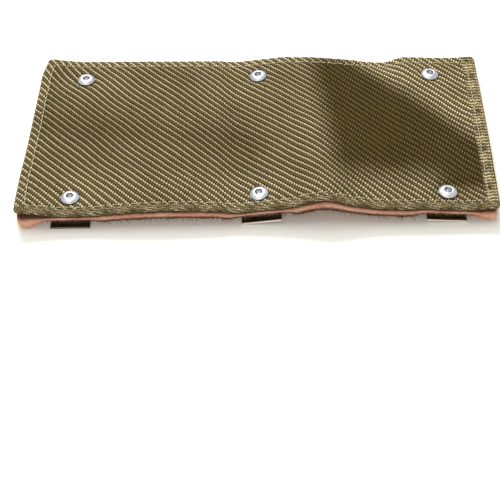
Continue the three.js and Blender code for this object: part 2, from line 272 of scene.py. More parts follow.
def compute(nodes, links, operation, *values):
    """The result of a sum on sockets."""
    node = nodes.new("ShaderNodeMath")
    node.operation = operation
    for socket, value in zip(node.inputs, values):
        links.new(value, socket)
    return node.outputs[0]


def bump(nodes, links, height, strength, distance, normal=None):
    node = nodes.new("ShaderNodeBump")
    node.inputs["Strength"].default_value = strength
    node.inputs["Distance"].default_value = distance
    links.new(height, node.inputs["Height"])
    if normal is not None:
        links.new(normal, node.inputs["Normal"])
    return node.outputs["Normal"]


def position(nodes):
    return nodes.new("ShaderNodeTexCoord").outputs["Object"]


def field(nodes, name):
    node = nodes.new("ShaderNodeAttribute")
    node.attribute_name = name
    return node.outputs["Fac"]


def yarn_material(name, gap_shade_colour, body, crown_highlight, roughness):
    """Bundled mineral fibre. U runs along the yarn, and the whole part of V counts the yarns. One point
    field darkens the yarns with painted shade, and another lightens their crowns with a painted highlight.
    """
    material, nodes, links, shader = new_material(name)
    uv = nodes.new("ShaderNodeUVMap").outputs["UV"]
    parts = nodes.new("ShaderNodeSeparateXYZ")
    links.new(uv, parts.inputs[0])
    tone = nodes.new("ShaderNodeTexWhiteNoise")
    tone.noise_dimensions = "1D"
    links.new(compute(nodes, links, "FLOOR", parts.outputs["Y"]), tone.inputs["W"])
    cloud = noise(nodes, links, position(nodes), 38.0, 3.0)
    filament = noise(nodes, links, uv, 1.0, 2.0, (0.22, 9.0, 1.0))
    lit = tuple(min(c * 1.25, 1) for c in body)
    dim = tuple(c * 0.8 for c in body)
    bundle = ramp(nodes, links, filament, [(0.3, dim), (0.72, lit)])
    shown = mix(nodes, links, field(nodes, "gap_shade"), bundle, gap_shade_colour)
    shaded = ramp(nodes, links, cloud, [(0.3, (0.80, 0.77, 0.72)), (0.7, (1.0, 1.0, 1.0))])
    toned = mix(nodes, links, 1.0, shown, shaded, "MULTIPLY")
    tones = [(0.0, (0.84, 0.84, 0.84)), (1.0, (1.0, 1.0, 1.0))]
    yarn_tone = ramp(nodes, links, tone.outputs["Value"], tones)
    toned = mix(nodes, links, 1.0, toned, yarn_tone, "MULTIPLY")
    links.new(mix(nodes, links, field(nodes, "crown_highlight"), toned, crown_highlight), shader.inputs["Base Color"])
    ply = nodes.new("ShaderNodeTexWave")
    ply.wave_type = "BANDS"
    ply.bands_direction = "DIAGONAL"
    ply.inputs["Scale"].default_value = 1.3
    ply.inputs["Distortion"].default_value = 1.2
    links.new(uv, ply.inputs["Vector"])
    fine = bump(nodes, links, filament, 0.4, 0.00010)
    links.new(bump(nodes, links, ply.outputs["Fac"], 0.25, 0.00008, fine), shader.inputs["Normal"])
    shader.inputs["Roughness"].default_value = roughness
    shader.inputs["Specular IOR Level"].default_value = 0.02
    shader.inputs["Specular Tint"].default_value = (1.0, 0.84, 0.55, 1)
    return material


def plain_cloth_material(name, colour):
    material, nodes, links, shader = new_material(name)
    grain = noise(nodes, links, position(nodes), 900.0, 2.0)
    dark = tuple(c * 0.5 for c in colour)
    links.new(ramp(nodes, links, grain, [(0.3, dark), (0.75, colour)]), shader.inputs["Base Color"])
    links.new(bump(nodes, links, grain, 0.5, 0.0002), shader.inputs["Normal"])
    shader.inputs["Roughness"].default_value = 0.9
    shader.inputs["Specular IOR Level"].default_value = 0.2
    return material


def felt_material(name, dark, light, fuzz):
    material, nodes, links, shader = new_material(name)
    place = position(nodes)
    cloud = noise(nodes, links, place, 90.0, 4.0)
    fibre = noise(nodes, links, place, 700.0, 3.0, (1.0, 1.0, 3.0))
    body = ramp(nodes, links, cloud, [(0.3, dark), (0.7, light)])
    flecks = ramp(nodes, links, fibre, [(0.35, (0.72, 0.66, 0.62)), (0.62, (1.0, 1.0, 1.0))])
    whole = mix(nodes, links, 1.0, body, flecks, "MULTIPLY")
    shaded = mix(nodes, links, field(nodes, "shade"), whole, (0.05, 0.016, 0.008))
    links.new(shaded, shader.inputs["Base Color"])
    links.new(bump(nodes, links, fibre, 0.9, 0.0006), shader.inputs["Normal"])
    shader.inputs["Roughness"].default_value = 0.95
    shader.inputs["Specular IOR Level"].default_value = 0.15
    shader.inputs["Sheen Weight"].default_value = fuzz
    shader.inputs["Sheen Roughness"].default_value = 0.6
    shader.inputs["Sheen Tint"].default_value = (1.0, 0.82, 0.72, 1)
    return material


def thread_material(name, dark, light):
    material, nodes, links, shader = new_material(name)
    uv = nodes.new("ShaderNodeUVMap").outputs["UV"]
    ply = nodes.new("ShaderNodeTexWave")
    ply.wave_type = "BANDS"
    ply.bands_direction = "DIAGONAL"
    ply.inputs["Scale"].default_value = 1.6
    ply.inputs["Distortion"].default_value = 0.6
    links.new(uv, ply.inputs["Vector"])
    colour = ramp(nodes, links, ply.outputs["Fac"], [(0.1, dark), (0.8, light)])
    links.new(colour, shader.inputs["Base Color"])
    links.new(bump(nodes, links, ply.outputs["Fac"], 0.7, 0.00015), shader.inputs["Normal"])
    shader.inputs["Roughness"].default_value = 0.6
    shader.inputs["Sheen Weight"].default_value = 0.3
    return material


def metal_material(name, colour, worn, roughness, grain, scratch, other=None):
    """Metal with drawn grain, faint stains and fine wear. A field shows where it has the other colour, a
    painted highlight on the strap tips and painted shade in the rivet craters.
    """
    material, nodes, links, shader = new_material(name)
    place = position(nodes)
    drawn = noise(nodes, links, place, 60.0, 3.0, grain)
    stain = noise(nodes, links, place, 45.0, 4.0)
    body = ramp(nodes, links, stain, [(0.3, worn), (0.62, colour)])
    lines = ramp(nodes, links, drawn, [(0.3, (0.86, 0.86, 0.86)), (0.7, (1.0, 1.0, 1.0))])
    whole = mix(nodes, links, 1.0, body, lines, "MULTIPLY")
    if other is not None:
        whole = mix(nodes, links, field(nodes, "painted_light_and_shade"), whole, other)
    links.new(whole, shader.inputs["Base Color"])
    rough = nodes.new("ShaderNodeMapRange")
    rough.inputs["To Min"].default_value = roughness * 0.75
    rough.inputs["To Max"].default_value = roughness * 1.35
    links.new(drawn, rough.inputs["Value"])
    links.new(rough.outputs["Result"], shader.inputs["Roughness"])
    links.new(bump(nodes, links, drawn, scratch, 0.00008), shader.inputs["Normal"])
    shader.inputs["Metallic"].default_value = 1.0
    return material


# Painted shade between the yarns, mixed in on their low sides and along the creases
PAINTED_GAP_SHADE = (0.006, 0.004, 0.0008)
# The last colour of each yarn is a painted highlight for the crowns of its floats
warp_cloth = yarn_material("warp_yarn", PAINTED_GAP_SHADE, (0.057, 0.0345, 0.0018), (0.92, 0.77, 0.47), 0.5)
weft_cloth = yarn_material("weft_yarn", PAINTED_GAP_SHADE, (0.043, 0.0265, 0.0015), (0.70, 0.56, 0.30), 0.5)
# The backing cloth is near black: the cloth's own dark olive deepened into painted shade between the yarns
# and under the hem
shaded_backing_cloth = plain_cloth_material("cloth_backing", (0.012, 0.008, 0.003))
felt_body = felt_material("felt_body", (0.80, 0.33, 0.19), (0.98, 0.60, 0.42), 0.08)
felt_fuzz = felt_material("felt_fuzz", (0.86, 0.45, 0.30), (0.98, 0.74, 0.56), 0.15)
sewing = thread_material("sewing_thread", (0.44, 0.35, 0.17), (0.82, 0.71, 0.44))
# The strap steel is painted near black as the shade under the pad, and the tips of its feet get a pale
# painted highlight
strap_metal_in_painted_shade = metal_material(
    "strap_sheet", (0.10, 0.085, 0.062), (0.05, 0.041, 0.030), 0.36, (1, 14, 14), 0.2, (0.80, 0.74, 0.62)
)
# The rivet's last colour is painted shade inside the crater of its dome
rivet_metal = metal_material(
    "rivet_skin", (0.58, 0.58, 0.62), (0.44, 0.44, 0.48), 0.33, (6, 6, 1), 0.04, (0.30, 0.30, 0.32)
)
pin_metal = metal_material("pin_steel", (0.26, 0.26, 0.27), (0.13, 0.13, 0.13), 0.5, (8, 8, 8), 0.3)


# Cloth of the cover, from its flat cut to the place it lies in
ROLL = 1.1
CORE_X = HALF_LENGTH - 3.0
CORE_Y = HALF_WIDTH - 3.0
ROUND = 1.5


def cloth_point(u, v, h):
    """Where a point of the flat cut lies, h above the cloth's middle, and how far it is round the hem."""
    held = smooth_step(inset(u, v) / 26.0)
    u = u + 1.1 * held * ripple(u, v, 62.0, 3)
    v = v + 1.1 * held * ripple(u, v, 71.0, 4)
    cx = np.clip(u, -CORE_X, CORE_X)
    cy = np.clip(v, -CORE_Y, CORE_Y)
    dx, dy = u - cx, v - cy
    far = np.hypot(dx, dy)
    nx = np.divide(dx, far, out=np.zeros_like(far), where=far > 1e-9)
    ny = np.divide(dy, far, out=np.zeros_like(far), where=far > 1e-9)
    flat = np.minimum(far, ROUND)
    turned = np.maximum(far - ROUND, 0)
    angle = np.minimum(turned / ROLL, np.pi)
    back = np.maximum(turned - ROLL * np.pi, 0)
    out = flat + (FABRIC / 2 + h) * np.sin(angle) - back
    flat_x, flat_y = cx + nx * out, cy + ny * out
    x, y = pulled(flat_x, flat_y)
    z = cover_base(x, y) + HEM_BOTTOM_RISE + FABRIC + (FABRIC / 2 + h) * np.cos(angle)
    z = z + 0.10 * ripple(x, y, 17.0, 5)
    edge = inset(flat_x, flat_y)
    on_top = np.cos(np.minimum(angle * 1.5, np.pi / 2))
    seam = bell(edge - STITCH_INSET, 1.2) * 0.75 + bell(edge - 2.3, 0.7) * 0.3
    z = z - seam * on_top
    away = rivet_distance(x, y)
    z = z - (1.15 - h * 0.35) * (1 - smooth_step((away - 5.2) / 5.0)) * on_top
    return np.stack([x, y, z], -1), turned, edge


def float_height(phase):
    """Rise of a yarn of a two over two twill; it is highest at phase 0 and lowest at phase 2 of 4."""
    wave = np.cos(phase * np.pi / 2)
    return 0.38 * np.tanh(1.5 * wave) / np.tanh(1.5)


SECTION = np.radians([-12, 38, 90, 142, 192])


def painted_crown_light(x, y, edge):
    """Painted highlight on the crowns of the yarns over the pad, with painted shade where the pad slopes
    away from the light and along a valley, and how far the highlights merge along the wales.
    """
    across = y / HALF_WIDTH
    past_ridge = smooth_step((x - 35 + 8 * across) / 22)
    above_slant = smooth_step((y - 66 + (x - 62) * 1.08) / 32)
    near_edge = np.maximum(smooth_step((128 - x) / 20), smooth_step((-y - 50) / 16))
    near_edge = smooth_step((-y - 30) / 30) * near_edge
    # Painted shade on the slope past the ridge, lighter again near the edges
    shaded_slope = past_ridge * (1 - above_slant) * (1 - 0.85 * near_edge)
    valley = bell(y + 14 + 0.2 * x, 24) * smooth_step((20 - x) / 30)
    patchy = 1 + 0.12 * ripple(x, y, 33.0, 9)
    hem = smooth_step((STITCH_INSET - edge) / 1.2)
    lively = past_ridge * above_slant
    bright = (0.90 - 0.73 * shaded_slope - 0.28 * valley + 0.42 * lively + 0.14 * near_edge) * patchy
    bright = bright + hem * (0.18 + 0.25 * smooth_step(y / 40))
    merged = 1 - 0.75 * np.maximum(past_ridge, smooth_step((-y - 35) / 25)) - 0.6 * hem - 0.9 * shaded_slope
    return np.clip(bright, 0, 1.4), merged


def woven(name, along_y, first, last, material):
    """The yarns of one direction from the first to the last, as the upper part of each bundle."""
    reach_u = HALF_LENGTH - 1.5 + 7.5
    reach_v = HALF_WIDTH - 1.5 + 7.5
    reach = reach_v if along_y else reach_u
    step = YARN_PITCH / 2
    count = int(2 * reach / step) + 1
    t = (np.arange(count) - (count - 1) / 2) * step
    yarns = np.arange(first, last)
    place = yarns * YARN_PITCH
    seeded = np.random.default_rng(11 if along_y else 12)
    wobble = seeded.uniform(-1, 1, (2, 4000))[:, (yarns + 2000)]
    sway = 0.07 * np.sin(t[None, :] / 9.0 + wobble[0][:, None] * 6)
    centre = place[:, None] + sway
    phase = t[None, :] / YARN_PITCH + yarns[:, None] - (0.5 if along_y else 2.5)
    rise = float_height(phase) * (1 + 0.06 * wobble[1][:, None])
    swell = 1 + 0.10 * np.cos(phase * np.pi / 2)
    half_width = 0.49 * YARN_PITCH * swell * (1 + 0.04 * wobble[1][:, None])
    half_height = 0.36
    across = centre[..., None] + half_width[..., None] * np.cos(SECTION[::-1])
    lift = rise[..., None] + half_height * np.sin(SECTION[::-1])
    run = np.broadcast_to(t[None, :, None], across.shape)
    u, v = (across, run) if along_y else (run, across)
    points, turned, edge = cloth_point(u, v, lift)
    sides = len(SECTION)
    faces = grid_faces(count, sides)
    if not along_y:
        faces = faces[:, ::-1]
    faces = (faces[None] + (np.arange(len(yarns)) * count * sides)[:, None, None]).reshape(-1, 4)
    hidden = np.abs((phase + 2) % 4 - 2) > 1.4
    hidden = np.broadcast_to(hidden[..., None], run.shape).reshape(-1)
    visible = (turned.reshape(-1)[faces].max(1) < ROLL * np.pi + 3.0) & ~hidden[faces].all(1)
    faces = faces[visible]
    bright, merged = painted_crown_light(points[..., 0], points[..., 1], edge)
    slant = merged * 0.49 * np.cos(SECTION[::-1])
    near_phase = (phase[..., None] + slant + 2) % 4 - 2
    top = np.clip(np.sin(SECTION[::-1]), 0, 1) ** (1.3 - 0.8 * np.clip(merged, 0, 1))
    # Painted highlight on the crown of each float, scaled by the painted light and shade over the pad
    crown_highlight = bell(near_phase - 0.05, 0.56 - 0.09 * np.clip(merged, 0, 1)) * top * bright
    # Painted highlights: weaker on the front of the roll, in bars across the side hem and in slanted ropes
    # along the near hem
    front = smooth_step(turned / ROLL / 0.9)
    side_hem = smooth_step((HALF_LENGTH - points[..., 0] - 8) / -1.5) * (1 - front)
    upper = np.clip(np.sin(SECTION[::-1]), 0, 1) ** 0.5
    rib = 0.5 + 0.5 * np.cos(np.pi * v / YARN_PITCH)
    ribbed = (0.03 + rib ** 1.3 * (0.92 + 0.55 * ripple(u, v, 5.0, 51))) * upper
    strand = 0.5 + 0.5 * np.cos(2 * np.pi * (v + 0.26 * u) / 1.9)
    roped = (0.08 + 0.62 * strand ** 2 * (0.8 + 0.5 * ripple(u, v, 6.0, 53))) * upper
    near_hem = smooth_step((-points[..., 1] - HALF_WIDTH + 4.6) / 1.0)
    if along_y:
        crown_highlight = crown_highlight * (1 - 0.5 * front)
        crown_highlight = crown_highlight + side_hem * (0.8 * ribbed - crown_highlight)
    else:
        crown_highlight = crown_highlight * (0.26 + 0.5 * front)
        crown_highlight = crown_highlight + side_hem * (ribbed - crown_highlight)
    crown_highlight = crown_highlight + near_hem * (roped - crown_highlight)
    # Painted shade: the low sides of each yarn, the line beside the seam and the crease at the top of the
    # near roll go darker
    crease_shade = bell(edge - STITCH_INSET - 1.0, 0.6) * (1 - front) + 0.8 * near_hem * bell(turned - 0.6, 0.4)
    gap_shade = np.clip(smooth_step((0.32 - lift) / 0.72) + 0.75 * crease_shade, 0, 1)
    yarn_count = yarns[:, None, None] + 0.5 + 0.42 * np.cos(SECTION[::-1])
    uv = np.stack([run / 4.0, np.broadcast_to(yarn_count, run.shape)], -1)
    used = np.unique(faces)
    renumber = np.zeros(points.shape[0] * count * sides, np.int64)
    renumber[used] = np.arange(len(used))
    piece = make_mesh(
        name,
        points.reshape(-1, 3)[used],
        renumber[faces],
        material,
        uv.reshape(-1, 2)[used],
        fields={"crown_highlight": crown_highlight.reshape(-1)[used], "gap_shade": gap_shade.reshape(-1)[used]},
    )
    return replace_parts(piece, "outer_cover")


def cloth_backing():
    """The cloth itself as one sheet under its yarns, folded round the hem."""
    fold = HEM_FOLD - 1.0

    def stations(half):
        core = np.linspace(-half + 1.5, half - 1.5, int(half / 1.2))
        turn = np.linspace(0.4, ROLL * np.pi, 8)
        under = ROLL * np.pi + np.linspace(1.5, fold - 1.5, 4)
        ring = half - 1.5 + np.concatenate([turn, under])
        return np.concatenate([-ring[::-1], core, ring])

    u, v = stations(HALF_LENGTH), stations(HALF_WIDTH)
    points, _, _ = cloth_point(u[None, :], v[:, None], np.full((len(v), len(u)), -0.42))
    faces = grid_faces(len(v), len(u))
    centre_u = np.abs(np.broadcast_to(u[None, :], (len(v), len(u))).ravel()[faces].mean(1))
    centre_v = np.abs(np.broadcast_to(v[:, None], (len(v), len(u))).ravel()[faces].mean(1))
    beyond = np.hypot(np.maximum(centre_u - CORE_X, 0), np.maximum(centre_v - CORE_Y, 0))
    on_edge = (centre_u < HALF_LENGTH - 1.5) | (centre_v < HALF_WIDTH - 1.5)
    keep = on_edge | (beyond < ROUND + ROLL * np.pi + 3)
    flat = points.reshape(-1, 3)
    used = np.unique(faces[keep])
    renumber = np.zeros(len(flat), np.int64)
    renumber[used] = np.arange(len(used))
    piece = make_mesh("cover_cloth", flat[used], renumber[faces[keep]], shaded_backing_cloth)
    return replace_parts(piece, "outer_cover"), 2 * (HALF_LENGTH + HEM_FOLD), 2 * (HALF_WIDTH + HEM_FOLD)


half_warp = int((HALF_LENGTH + 6.0) / YARN_PITCH)
half_weft = int((HALF_WIDTH + 6.0) / YARN_PITCH)
yarn_pieces = [
    woven("cover_warp_left", True, -half_warp, 0, warp_cloth),
    woven("cover_warp_right", True, 0, half_warp + 1, warp_cloth),
    woven("cover_weft_near", False, -half_weft, 0, weft_cloth),
    woven("cover_weft_far", False, 0, half_weft + 1, weft_cloth),
]
cover_cloth, cut_length, cut_width = cloth_backing()


# Stitches of the hem
def stitch_run(name, node, length, gap, radius, rise, flatten):
    """Separate stitches along the seam, each dipping into the cloth at its ends."""
    x_side, y_side = HALF_LENGTH - STITCH_INSET, HALF_WIDTH - STITCH_INSET
    legs = [((-x_side, -y_side), (x_side, -y_side)), ((x_side, -y_side), (x_side, y_side))]
    legs += [((x_side, y_side), (-x_side, y_side)), ((-x_side, y_side), (-x_side, -y_side))]
    rings, sides = 9, 8
    turn = np.linspace(0, 2 * np.pi, sides, endpoint=False)
    all_points, all_faces, all_uv = [], [], []
    total = 0
    for start, end in legs:
        start, end = np.array(start), np.array(end)
        span = np.linalg.norm(end - start)
        along = (end - start) / span
        side = np.array([along[1], -along[0]])
        count = int(span / (length + gap))
        pitch = span / count
        for n in range(count):
            shift = rng.uniform(-0.22, 0.22)
            lean = rng.uniform(-0.12, 0.12)
            t = np.linspace(0.5 * gap, pitch - 0.5 * gap, rings)
            s = np.linspace(-1, 1, rings)
            thick = radius * np.sqrt(np.clip(1 - s ** 8, 0.02, 1))
            middle = start + np.outer(n * pitch + t, along) + np.outer(shift + lean * s, side)
            dip = -0.65 * np.abs(s) ** 5
            ring = middle[:, None, :] + side * (thick[:, None, None] * np.cos(turn)[None, :, None])
            x, y = ring[..., 0], ring[..., 1]
            height = rise(*pulled(*middle.T)) + dip * flatten
            z = height[:, None] + flatten * thick[:, None] * np.sin(turn)[None, :]
            points = np.stack([*pulled(x, y), z], -1).reshape(-1, 3)
            faces = grid_faces(rings, sides, closed=True, offset=total)
            all_points.append(points)
            all_faces.append(faces[:, ::-1])
            uv = np.stack(np.broadcast_arrays(t[:, None] * 0.6 + n, turn[None, :] / (2 * np.pi)), -1)
            all_uv.append(uv.reshape(-1, 2))
            total += rings * sides
    piece = make_mesh(
        name, np.concatenate(all_points), np.concatenate(all_faces), sewing, np.concatenate(all_uv)
    )
    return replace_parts(piece, node)


def needle_rise(x, y):
    return cover_base(x, y) + COVER_TOP_RISE - 0.15


def bobbin_rise(x, y):
    return pad_height(x, y) + FELT_THICKNESS + 0.5


needle_stitches = stitch_run("needle_stitches", "needle_thread", 3.3, 0.55, 0.31, needle_rise, 1.0)
bobbin_stitches = stitch_run("bobbin_stitches", "bobbin_thread", 3.3, 0.55, 0.31, bobbin_rise, 0.5)


# Felt
def felt_levels(x, y):
    """Underside and top of the felt."""
    sag = (2.8 + 1.9 * bell(x - 40, 20)) * smooth_step((10 - inset(x, y)) / 10)
    for _, place, _, _ in STRAPS:
        sag = sag * smooth_step((np.abs(x - place) - STRAP_WIDTH / 2 - 1) / 10)
    low = pad_height(x, y) - sag
    field = smooth_step((inset(x, y) - HEM_FOLD) / 1.5)
    high = pad_height(x, y) + FELT_THICKNESS + 2.2 * field
    for side_x, side_y, _, top_drop, bottom_drop in CORNERS:
        share = corner_share(x, y, side_x, side_y, 18.5)
        high = high - top_drop * share
        low = low - bottom_drop * share
    return np.maximum(low, FELT_CLEARANCE), high


def felt_outline(step):
    """Points round the felt's edge with their outward directions, rounded at the corners."""
    x_side, y_side, radius = HALF_LENGTH - 0.9, HALF_WIDTH - 0.9, 4.0
    places, outward = [], []
    for start, end, normal in [
        ((-x_side + radius, -y_side), (x_side - radius, -y_side), (0, -1)),
        ((x_side, -y_side + radius), (x_side, y_side - radius), (1, 0)),
        ((x_side - radius, y_side), (-x_side + radius, y_side), (0, 1)),
        ((-x_side, y_side - radius), (-x_side, -y_side + radius), (-1, 0)),
    ]:
        start, end, normal = np.array(start), np.array(end), np.array(normal, float)
        count = int(np.linalg.norm(end - start) / step)
        t = np.arange(count)[:, None] / count
        places.append(start + (end - start) * t)
        outward.append(np.repeat(normal[None], count, 0))
        turn = np.linspace(0, np.pi / 2, 8, endpoint=False)[:, None]
        along = (end - start) / np.linalg.norm(end - start)
        centre = end - normal * radius
        direction = normal * np.cos(turn) + along * np.sin(turn)
        places.append(centre + radius * direction)
        outward.append(direction)
    return np.concatenate(places), np.concatenate(outward)


def rag(place, seed):
    x, y = place.T
    return 0.5 * ripple(x, y, 7.0, seed) + 0.35 * ripple(x, y, 2.3, seed + 1)


def near_corners(x, y):
    """How near a place is to the near corners, where the felt hangs free and is lit."""
    return corner_share(x, y, -1, -1, 30) + corner_share(x, y, 1, -1, 26)


def felt_pad():
    place, outward = felt_outline(0.55)
    count = len(place)
    levels = 9
    rings = []
    shade = []
    inward = [9.0, 4.0, 1.2]
    for back in inward:
        x, y = (place - outward * back).T
        rings.append(np.stack([*pulled(x, y), felt_levels(x, y)[1] - 0.05 * rag(place, 21)], -1))
        shade.append(np.full(count, 0.9 if back > 2 else 0.75))
    for k in range(levels):
        t = k / (levels - 1)
        bulge = 0.55 * np.sin(np.pi * min(max(t * 1.1 - 0.05, 0), 1)) - 0.55
        shift = bulge + 0.32 * rag(place, 30 + 2 * k) + rng.uniform(-0.12, 0.12, count)
        x, y = (place + outward * shift[:, None]).T
        low, high = felt_levels(x, y)
        z = high + (low - high) * t + 0.22 * rag(place, 60 + k) * np.sin(np.pi * t)
        if k == levels - 1:
            z = z + 0.22 + 0.18 * rag(place, 77)
        rings.append(np.stack([*pulled(x, y), np.maximum(z, 0.05)], -1))
        hidden = 1 - smooth_step(near_corners(*place.T) * 1.6)
        shadow = max(0.0, 0.95 - 2.6 * t) + 0.95 * float(smooth_step((t - 0.38) / 0.35)) * hidden
        shade.append(np.clip(shadow + 0.10 * rag(place, 91 + k), 0, 1))
    for back in reversed(inward):
        x, y = (place - outward * back).T
        rings.append(np.stack([*pulled(x, y), felt_levels(x, y)[0] + 0.04 * rag(place, 22)], -1))
        shade.append(np.zeros(count))
    points = np.concatenate(rings)
    sides = grid_faces(len(rings), count, closed=True)[:, ::-1]
    xs = np.linspace(-HALF_LENGTH + 9.9, HALF_LENGTH - 9.9, 190)
    ys = np.linspace(-HALF_WIDTH + 9.9, HALF_WIDTH - 9.9, 92)
    gx, gy = np.meshgrid(xs, ys)
    low, high = felt_levels(gx, gy)
    pock = 0.10 * ripple(gx, gy, 5.0, 41) + rng.uniform(-0.07, 0.07, gx.shape)
    top = np.stack([*pulled(gx, gy), high - 0.1], -1).reshape(-1, 3)
    bottom = np.stack([*pulled(gx, gy), np.maximum(low + pock + 0.12, low)], -1).reshape(-1, 3)
    shade = np.concatenate([*shade, np.full(len(top), 0.9), np.zeros(len(bottom))])
    first = len(points)
    faces = [sides, grid_faces(92, 190, offset=first), grid_faces(92, 190, offset=first + len(top))[:, ::-1]]
    piece = make_mesh(
        "felt_pad", np.concatenate([points, top, bottom]), np.concatenate(faces), felt_body,
        fields={"shade": shade},
    )
    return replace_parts(piece, "insulation_felt")


def felt_fibres(count):
    """Loose fibres that stand out of the felt's cut edge and hang below it."""
    place, outward = felt_outline(0.4)
    picked = rng.integers(0, len(place), count)
    origin, out = place[picked], outward[picked]
    along = np.stack([-out[:, 1], out[:, 0]], -1)
    share = rng.uniform(0.15, 1.0, count) ** 0.8
    x, y = (origin - out * 0.45).T
    low, high = felt_levels(x, y)
    root = np.stack([*pulled(x, y), high + (low - high) * share], -1)
    shade = smooth_step((share - 0.3) / 0.4) * 0.85 * (1 - smooth_step(near_corners(x, y) * 1.6))
    length = rng.uniform(0.7, 2.3, count) * (1 + 0.5 * shade)
    head = np.stack([out[:, 0], out[:, 1], np.zeros(count)], -1) * rng.uniform(0.15, 0.75, count)[:, None]
    lean = rng.normal(0, 0.8, count)[:, None]
    head = head + np.stack([along[:, 0], along[:, 1], np.zeros(count)], -1) * lean
    head[:, 2] += rng.normal(-0.15, 0.5, count) - 0.5 * shade
    head /= np.linalg.norm(head, axis=1)[:, None]
    rings, sides = 5, 3
    t = np.linspace(0, 1, rings)
    curl = rng.normal(0, 0.5, (count, 3))
    line = root[:, None] + head[:, None] * (length[:, None] * t)[..., None]
    line = line + curl[:, None] * (length[:, None] * t ** 2)[..., None] * 0.6
    line[..., 2] -= 0.25 * (length[:, None] * t ** 2)
    line[..., 2] = np.maximum(line[..., 2], 0.15)
    side = np.cross(head, [0.2, 0.3, 1.0])
    side /= np.linalg.norm(side, axis=1)[:, None]
    other = np.cross(head, side)
    turn = np.linspace(0, 2 * np.pi, sides, endpoint=False)
    thick = (0.10 * (1 - 0.7 * t))[None, :, None, None]
    turn = turn[None, None, :, None]
    ring = side[:, None, None] * np.cos(turn) + other[:, None, None] * np.sin(turn)
    points = (line[:, :, None] + ring * thick).reshape(-1, 3)
    faces = grid_faces(rings, sides, closed=True)
    faces = (faces[None] + (np.arange(count) * rings * sides)[:, None, None]).reshape(-1, 4)
    piece = make_mesh(
        "felt_fibres", points, faces, felt_fuzz, fields={"shade": np.repeat(shade, rings * sides)}
    )
    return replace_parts(piece, "insulation_felt")


felt = felt_pad()
felt_fibres(FIBRE_COUNT)


# Straps, folded from strip with rounded edges
def strap_line():
    """The strip's middle line in Y and Z from one tip to the other, with the reach of each slot."""
    leg = HALF_WIDTH - STRAP_LEG_INSET
    middle = STRAP_THICKNESS / 2
    bend = STRAP_BEND + middle
    top = STRAP_STAND_OFF + middle
    line = [(HALF_WIDTH - STRAP_TIP_INSET - back, middle) for back in (0, 0.5, 1.2, 2.5)]
    line += [(y, middle) for y in np.linspace(leg + SLOT_FOOT_RUN, leg + bend, 5)]
    for a in np.radians(np.linspace(0, 90, 7))[1:]:
        line.append((leg + bend - bend * np.sin(a), middle + bend - bend * np.cos(a)))
    for z in np.linspace(middle + bend, top - bend, 4)[1:]:
        line.append((leg, z))
    for a in np.radians(np.linspace(0, 90, 7))[1:]:
        line.append((leg - bend + bend * np.cos(a), top - bend + bend * np.sin(a)))
    line += [(y, top) for y in np.linspace(leg - bend, 0, 16)[1:-1]]
    half = np.array(line)
    return np.concatenate([half, [[0.0, top]], half[::-1] * [-1, 1]])


def refined_strap(name, place, tilt, lift):
    line = strap_line()
    slot_half = SLOT_WIDTH / 2
    edge = STRAP_WIDTH / 2
    across = np.concatenate([[-edge], np.linspace(-slot_half, slot_half, 9), [edge]])
    rows, columns = len(line), len(across)
    grid = np.broadcast_arrays(across[None], line[:, :1], line[:, 1:])
    points = np.stack(grid, -1).reshape(-1, 3)
    faces = grid_faces(rows, columns)
    centre = points[faces].mean(1)
    in_slot = np.abs(centre[:, 0]) < slot_half - 0.1
    outside_y = np.abs(centre[:, 1])
    leg = HALF_WIDTH - STRAP_LEG_INSET
    in_leg = (outside_y > leg - 1.1) & (outside_y < leg + SLOT_FOOT_RUN) & (centre[:, 2] < SLOT_TOP)
    faces = faces[~(in_slot & in_leg)]
    used = np.unique(faces)
    renumber = np.zeros(len(points), np.int64)
    renumber[used] = np.arange(len(used))
    # Painted highlight on the cut tips of the feet, faint on the left strap, which lies in shade
    tip = smooth_step((np.abs(points[used][:, 1]) - HALF_WIDTH + STRAP_TIP_INSET + 1.2) / 1.0)
    painted_lip_highlight = tip * (0.15 if name == "left" else 1.0)
    piece = make_mesh(
        f"sheet_strap_{name}",
        points[used],
        renumber[faces],
        strap_metal_in_painted_shade,
        fields={"painted_light_and_shade": painted_lip_highlight},
    )
    thick = piece.modifiers.new("thickness", "SOLIDIFY")
    thick.thickness = STRAP_THICKNESS * MM
    thick.offset = 0
    soft = piece.modifiers.new("edges", "BEVEL")
    soft.width = 0.14 * MM
    soft.segments = 2
    soft.limit_method = "ANGLE"
    soft.angle_limit = np.radians(50)
    station = Matrix.Translation((place * MM, 0, lift * MM)) @ Matrix.Rotation(tilt, 4, "Y")
    piece.data.transform(station)
    if name == "left":
        for vertex in piece.data.vertices:
            if vertex.co.y < -(HALF_WIDTH - LEFT_FOOT_RUN) * MM:
                vertex.co.y -= LEFT_FOOT_REACH * MM
    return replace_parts(piece, f"strap_{name}")


# Rivets
def turned(name, profile, segments, slot, material, station, y, node, uneven=0.0):
    """A piece turned about its own axis from a profile of radius and height."""
    profile = np.array(profile)
    turn = np.linspace(0, 2 * np.pi, segments, endpoint=False)
    spread = profile[:, 0][:, None] * (1 + uneven * np.sin(3 * turn + y)[None])
    points = np.stack(
        [spread * np.cos(turn), spread * np.sin(turn) + y, np.repeat(profile[:, 1:], segments, 1)], -1
    ).reshape(-1, 3)
    faces = grid_faces(len(profile), segments, closed=True)
    # Painted shade: the inner wall of the crater takes the darker colour
    in_crater = (profile[:, 0] < 2.6) & (profile[:, 1] > HEAD_SEAT + 0.2)
    crater = np.repeat(in_crater * 1.0, segments)
    piece = make_mesh(name, points, faces, material, fields={"painted_light_and_shade": crater})
    piece.data.transform(station)
    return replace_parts(piece, node)


